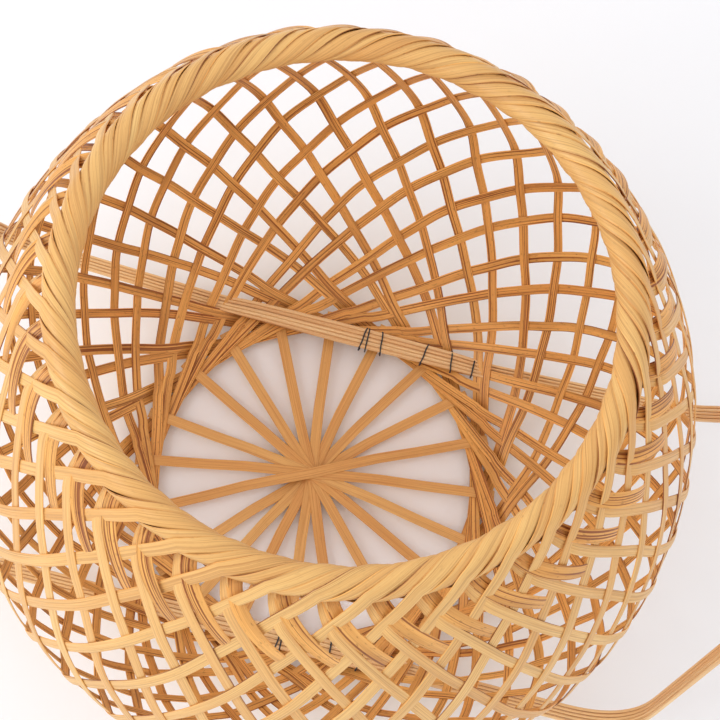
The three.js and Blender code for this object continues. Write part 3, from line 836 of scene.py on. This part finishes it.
def strip_line(index):
    """One strip: from under the rim, past the hole and up to the rim, round it and into the wall."""
    random = np.random.RandomState(LINE_SEED + index)
    run = np.arange(run_at_row(FALLING_LEAVES_ROW), 0, -STRIP_STEP)
    down, down_in = strip_half(index, -1, run, inset_at(index, -1, run))
    under, under_in = falling_end(index, down, down_in, random)
    run = np.arange(0, COURSE_LENGTH, STRIP_STEP)
    near_rim = np.clip((COURSE_LENGTH - run) / RIM_EASE_LENGTH, 0, 1)
    up, up_in = strip_half(index, 1, run, inset_at(index, 1, run) * near_rim)
    rope, rope_in, rope_crown, rope_angle = rim_turns(index, random)
    tail, tail_in = rim_tail(rope[-1], rope_in[-1], rope_angle, random)
    point = np.concatenate([under, down, up, rope, tail])
    inward = np.concatenate([under_in, down_in, up_in, rope_in, tail_in])
    rope_first = len(under) + len(down) + len(up)
    tail_first = len(point) - len(tail)
    plain = np.full(rope_first, STRIP_CROWN)
    crown = np.concatenate([plain, np.maximum(rope_crown, STRIP_CROWN), np.full(len(tail), TAIL_CROWN)])
    marks = [rope_first - WIDEN_BEFORE, rope_first + WIDEN_AFTER, tail_first - NARROW_BEFORE, len(point)]
    widen = np.interp(np.arange(len(point)), marks, [0, 1, 1, 0])
    return point, inward, crown, widen


def make_strips():
    for index in range(STRIP_COUNT):
        point, inward, crown, widen = strip_line(index)
        chance = np.random.RandomState(WIDTH_SEED + index).rand()
        width = STRIP_WIDTH * (STRIP_LEAST_WIDTH + STRIP_WIDTH_SPREAD * chance)
        width = width * (1 + widen * (ROPE_WIDTH / STRIP_WIDTH - 1))
        part = ribbon(point, inward, width, STRIP_THICKNESS, crown, seed=index + 1)
        name = f"{index + 1:02d}"
        make_piece(f"woven_strip_{name}", [part], STRIP_LOOK, f"strip_{name}")


def make_spokes():
    for number in range(1, SPOKE_COUNT + 1):
        lean = SPOKE_LEANS[number - 1]
        even = 180 / SPOKE_COUNT * (number - 0.5)
        angles = [math.radians(even + lean[0]), math.radians(even + 180 + lean[1])]
        first, second = [np.array([math.cos(a), math.sin(a)]) * SPOKE_END for a in angles]
        share = np.linspace(-1, 1, SPOKE_SAMPLES)
        straight = np.where(share[:, None] < 0, -share[:, None] * first, share[:, None] * second)
        near_centre = np.minimum(1, (1 - np.abs(share))[:, None] * SPOKE_CENTRE_PULL)
        flat = straight + np.array(SPOKE_CENTRE)[None] * near_centre
        pile = BASE_PLANE + (SPOKE_LAYERS[number - 1] - (SPOKE_COUNT + 1) / 2) * SPOKE_LAYER_STEP
        distance = np.hypot(flat[:, 0], flat[:, 1])
        height = np.interp(distance, SPOKE_DISTANCES, [pile, pile, *SPOKE_OUTER_HEIGHTS])
        point = np.column_stack([flat, height])
        inward = np.tile(UP, (len(point), 1))
        part = ribbon(point, inward, SPOKE_WIDTH, SPOKE_THICKNESS, seed=SPOKE_GRAIN + number)
        make_piece(f"crossing_spoke_{number:02d}", [part], SPOKE_LOOK, f"spoke_{number:02d}")


# Handle bars
def bar_passage(row, angle):
    """Where a bar passes through the model's wall, and the direction inward there."""
    radius, height, _, up_r, up_z = course_at(np.array([run_at_row(row)]))
    turn = math.radians(angle) + twist_at(height[0])
    point = np.array([radius[0] * math.cos(turn), radius[0] * math.sin(turn), height[0]])
    normal = np.array([-up_z[0] * math.cos(turn), -up_z[0] * math.sin(turn), up_r[0]])
    return point, normal


BACK = {"line": BACK_BAR_LINE, "passage": bar_passage(BACK_PASS_ROW, BACK_PASS_ANGLE)}
FRONT = {"line": FRONT_BAR_LINE, "passage": bar_passage(FRONT_PASS_ROW, FRONT_PASS_ANGLE)}
PAIR_MIDDLE = (BACK["passage"][0][1] - FRONT["passage"][0][1]) / 2
PAIR_HALF = BAR_PAIR_SPACING / 2
LEG_UP = ((BACK["passage"][0][1] + FRONT["passage"][0][1]) / 2 - PAIR_HALF) / LEG_IN_PER_UP
JOIN_X = BAR_REACH + LEG_OUT_PER_UP * LEG_UP
JOIN_Z = (BACK["passage"][0][2] + FRONT["passage"][0][2]) / 2 + BAR_OUTER_RISE + LEG_UP


def rounded(points, bends):
    """A line through the points, with a bend of the given reach at each inner one."""
    points = [np.asarray(p, float) for p in points]
    out = [points[0]]
    for before, corner, after, bend in zip(points, points[1:], points[2:], bends):
        to_before = before - corner
        to_after = after - corner
        room = min(np.linalg.norm(to_before), np.linalg.norm(to_after))
        reach = min(bend, room * BEND_MOST_SHARE)
        start = corner + unit(to_before) * reach
        end = corner + unit(to_after) * reach
        for share in np.linspace(0, 1, BEND_STEPS):
            out.append(start * (1 - share) ** 2 + corner * 2 * share * (1 - share) + end * share**2)
    out.append(points[-1])
    return out


def bar_half(bar, side, middle_y):
    """Half of a bar on the +Y side, from the middle of the base to the top of the handle."""
    place, normal = bar["passage"]
    y = middle_y + PAIR_HALF
    step = np.array([LEG_OUT_PER_UP, 0, 1]) * LEG_JOIN_BEND
    join = np.array([JOIN_X, y, JOIN_Z])
    low = rounded(
        [
            (0, bar["line"], BAR_LOW),
            (BAR_LEAVES - BAR_DIVE_LENGTH, bar["line"], BAR_LOW),
            (BAR_LEAVES, bar["line"], BAR_DIVE_HEIGHT),
            (BAR_REACH, place[1] - normal[1] * side * BAR_PASS_SIDESTEP, place[2] + BAR_OUTER_RISE),
            join,
            join + 2 * step,
        ],
        [BAR_DIVE_BEND, BAR_DIVE_BEND, BAR_BEND_LENGTH, LEG_JOIN_BEND],
    )[:-1]
    shoulder = join + step
    top = HANDLE_HEIGHT - BAR_THICKNESS / 2
    arch = [
        shoulder,
        shoulder + np.array([LEG_OUT_PER_UP * HANDLE_SHOULDER, 0, HANDLE_SHOULDER]),
        np.array([HANDLE_CROWN, y, top]),
        np.array([HALF_GAP_AT_TOP, y, top]),
    ]
    return np.array([*low, *bezier(arch, np.linspace(0, 1, ARCH_STEPS))[1:]])


def lengths_along(line):
    """How far along a line each of its points is."""
    return np.concatenate([[0], np.cumsum(np.linalg.norm(np.diff(line, axis=0), axis=1))])


def points_at(line, lengths, marks):
    """Points on a line at these distances along it."""
    return np.stack([np.interp(marks, lengths, line[:, k]) for k in range(3)], -1)


def bar_line(bar, name):
    """The whole middle line of a bar, from top to top."""
    if name == "back":
        right = bar_half(bar, 1, PAIR_MIDDLE)
        left = bar_half(bar, -1, PAIR_MIDDLE) * [-1, 1, 1]
    else:
        right = bar_half(bar, -1, -PAIR_MIDDLE) * [1, -1, 1]
        left = bar_half(bar, 1, -PAIR_MIDDLE) * [-1, -1, 1]
    line = np.concatenate([left[:0:-1], right])
    lengths = lengths_along(line)
    return points_at(line, lengths, np.linspace(0, lengths[-1], int(lengths[-1] / BAR_STEP)))


def bar_frame(line, bar, side):
    """Directions across and out of a bar, tilted a little with the wall where it passes through."""
    along = unit(np.gradient(line, axis=0))
    across = unit(np.array([0.0, 1.0, 0.0]) - along * along[:, 1:2])
    normal = np.cross(along, across)
    place, wall_normal = bar["passage"]
    most = BAR_TILT_SHARE * math.atan2(-wall_normal[1], wall_normal[2])
    share = np.abs(np.abs(line[:, 0]) - BAR_LEAVES) / BAR_TILT_LENGTH
    low = line[:, 2] <= place[2] + BAR_OUTER_RISE
    tilt = side * most * np.maximum(0, 1 - share) * low
    turned = normal * np.cos(tilt)[:, None] + np.cross(along, normal) * np.sin(tilt)[:, None]
    return np.cross(turned, along), turned


def splint_spread(x, z):
    """How much wider a bar lies on the base than in the handle."""
    return 1 + BAR_SPREAD * np.maximum(0, 1 - (x / BAR_LEAVES) ** 2) * (z < BAR_LOW * 2)


def make_bars():
    for name, bar, side in (("back", BACK, 1), ("front", FRONT, -1)):
        line = bar_line(bar, name)
        across, normal = bar_frame(line, bar, side)
        width = BAR_WIDTH / SPLINT_COUNT * splint_spread(line[:, 0], line[:, 2])
        parts = []
        for k in range(SPLINT_COUNT):
            place = ((k - (SPLINT_COUNT - 1) / 2) * width)[:, None]
            height = SPLINT_UNEVENNESS * math.sin(SPLINT_UNEVEN_STEP * k + (name == "back"))
            point = line + across * place + normal * height
            seed = SPLINT_GRAIN + k + 10 * side
            parts.append(ribbon(point, -normal, width * SPLINT_FILL, BAR_THICKNESS, SPLINT_CROWN, seed=seed))
        make_piece(f"bar_{name}", parts, BAR_LOOK, f"handle_bar_{name}")


def squared(value, power):
    """Squares up a sine or cosine, so that a loop follows a flat bar."""
    return np.sign(value) * np.abs(value) ** power


def thread_loop(centre, half_width, half_height, lean, seed):
    """One loop of thread across a bar."""
    turn = np.linspace(0, 2 * math.pi, TIE_STEPS + 1)
    y = half_width * squared(np.cos(turn), TIE_SQUARENESS)
    z = half_height * squared(np.sin(turn), TIE_SQUARENESS)
    point = np.stack([lean * np.cos(turn), y, z], -1) + np.array(centre)
    inward = unit(np.array(centre) - point)
    return ribbon(point, inward, 2 * THREAD_RADIUS, 2 * THREAD_RADIUS, seed=seed)


def make_ties():
    """Thin dark threads tied round a bar and the ring under it."""
    for name, bar, ties in (("back", BACK, BACK_TIES), ("front", FRONT, FRONT_TIES)):
        line = bar_line(bar, name)
        low = line[line[:, 2] < bar["passage"][0][2]]
        parts = []
        for index, x in enumerate(ties):
            y = np.interp(x, low[:, 0], low[:, 1])
            z = np.interp(x, low[:, 0], low[:, 2])
            top = z + BAR_THICKNESS / 2 + TIE_ABOVE
            bottom = z - TIE_BELOW
            centre = (x, y, (top + bottom) / 2)
            half_width = BAR_WIDTH / 2 * splint_spread(x, z) + TIE_SIDE_ROOM
            lean = TIE_LEAN * math.sin(TIE_LEAN_STEP * index + 1)
            parts.append(thread_loop(centre, half_width, (top - bottom) / 2, lean, seed=TIE_GRAIN + index))
        make_piece(f"ties_{name}", parts, CORD_LOOK, f"lashing_{name}")


def make_bindings():
    """Flat rattan wound round both bars, where the legs meet and at the top."""
    right = bar_half(BACK, 1, PAIR_MIDDLE)
    right[:, 1] = PAIR_MIDDLE
    lengths = lengths_along(right)
    start = lengths[np.argmax(right[:, 2] > JOIN_Z + LEG_JOIN_BEND * LEG_BINDING_START)]
    total = lengths[-1]
    half_y = BAR_WIDTH + BINDING_SIDE_ROOM
    half_z = BAR_THICKNESS / 2 + BINDING_TOP_ROOM
    for name, first, last, mirror in (
        ("right", start, start + LEG_BINDING_LENGTH, 1),
        ("left", start, start + LEG_BINDING_LENGTH, -1),
        ("top", total - TOP_BINDING_HALF, total + TOP_BINDING_HALF, 1),
    ):
        turns = int((last - first) / BINDING_PITCH)
        marks = np.linspace(first, last, turns * BINDING_STEPS + 1)
        middle = points_at(right, lengths, np.where(marks > total, 2 * total - marks, marks))
        middle[marks > total, 0] *= -1
        middle[:, 0] *= mirror
        along = unit(np.gradient(middle, axis=0))
        across = np.tile([0.0, 1.0, 0.0], (len(middle), 1))
        normal = np.cross(along, across)
        turn = np.linspace(0, 2 * math.pi * turns, len(marks))
        y = half_y * squared(np.cos(turn), BINDING_SIDE_SQUARENESS)
        z = half_z * squared(np.sin(turn), BINDING_TOP_SQUARENESS)
        point = middle + across * y[:, None] + normal * z[:, None]
        outside = unit(across * (y / half_y**2)[:, None] + normal * (z / half_z**2)[:, None])
        seed = BINDING_GRAIN + len(name)
        part = ribbon(point, -outside, BINDING_WIDTH, BINDING_THICKNESS, STRIP_CROWN, seed=seed)
        make_piece(f"wound_binding_{name}", [part], RATTAN_LOOK, f"binding_{name}")


def dress_core():
    """The ring inside the rim is coloured dark brown as painted shade, and shows only as a dark line between
    the turns.
    """
    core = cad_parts["rim_core"]
    core.data.materials.clear()
    # Painted shade: the dark core stands in for the shade in the grooves between the turns
    core.data.materials.append(CORE_SHADE_LOOK)


add_camera()
add_world()
add_floor()
add_light("key", place=(-0.9, -0.4, 0.85), aim=(0, 0, 0.1), size=0.7, power=5.5)
make_strips()
make_spokes()
make_bars()
make_ties()
make_bindings()
dress_core()
bpy.context.scene.view_settings.view_transform = "Standard"
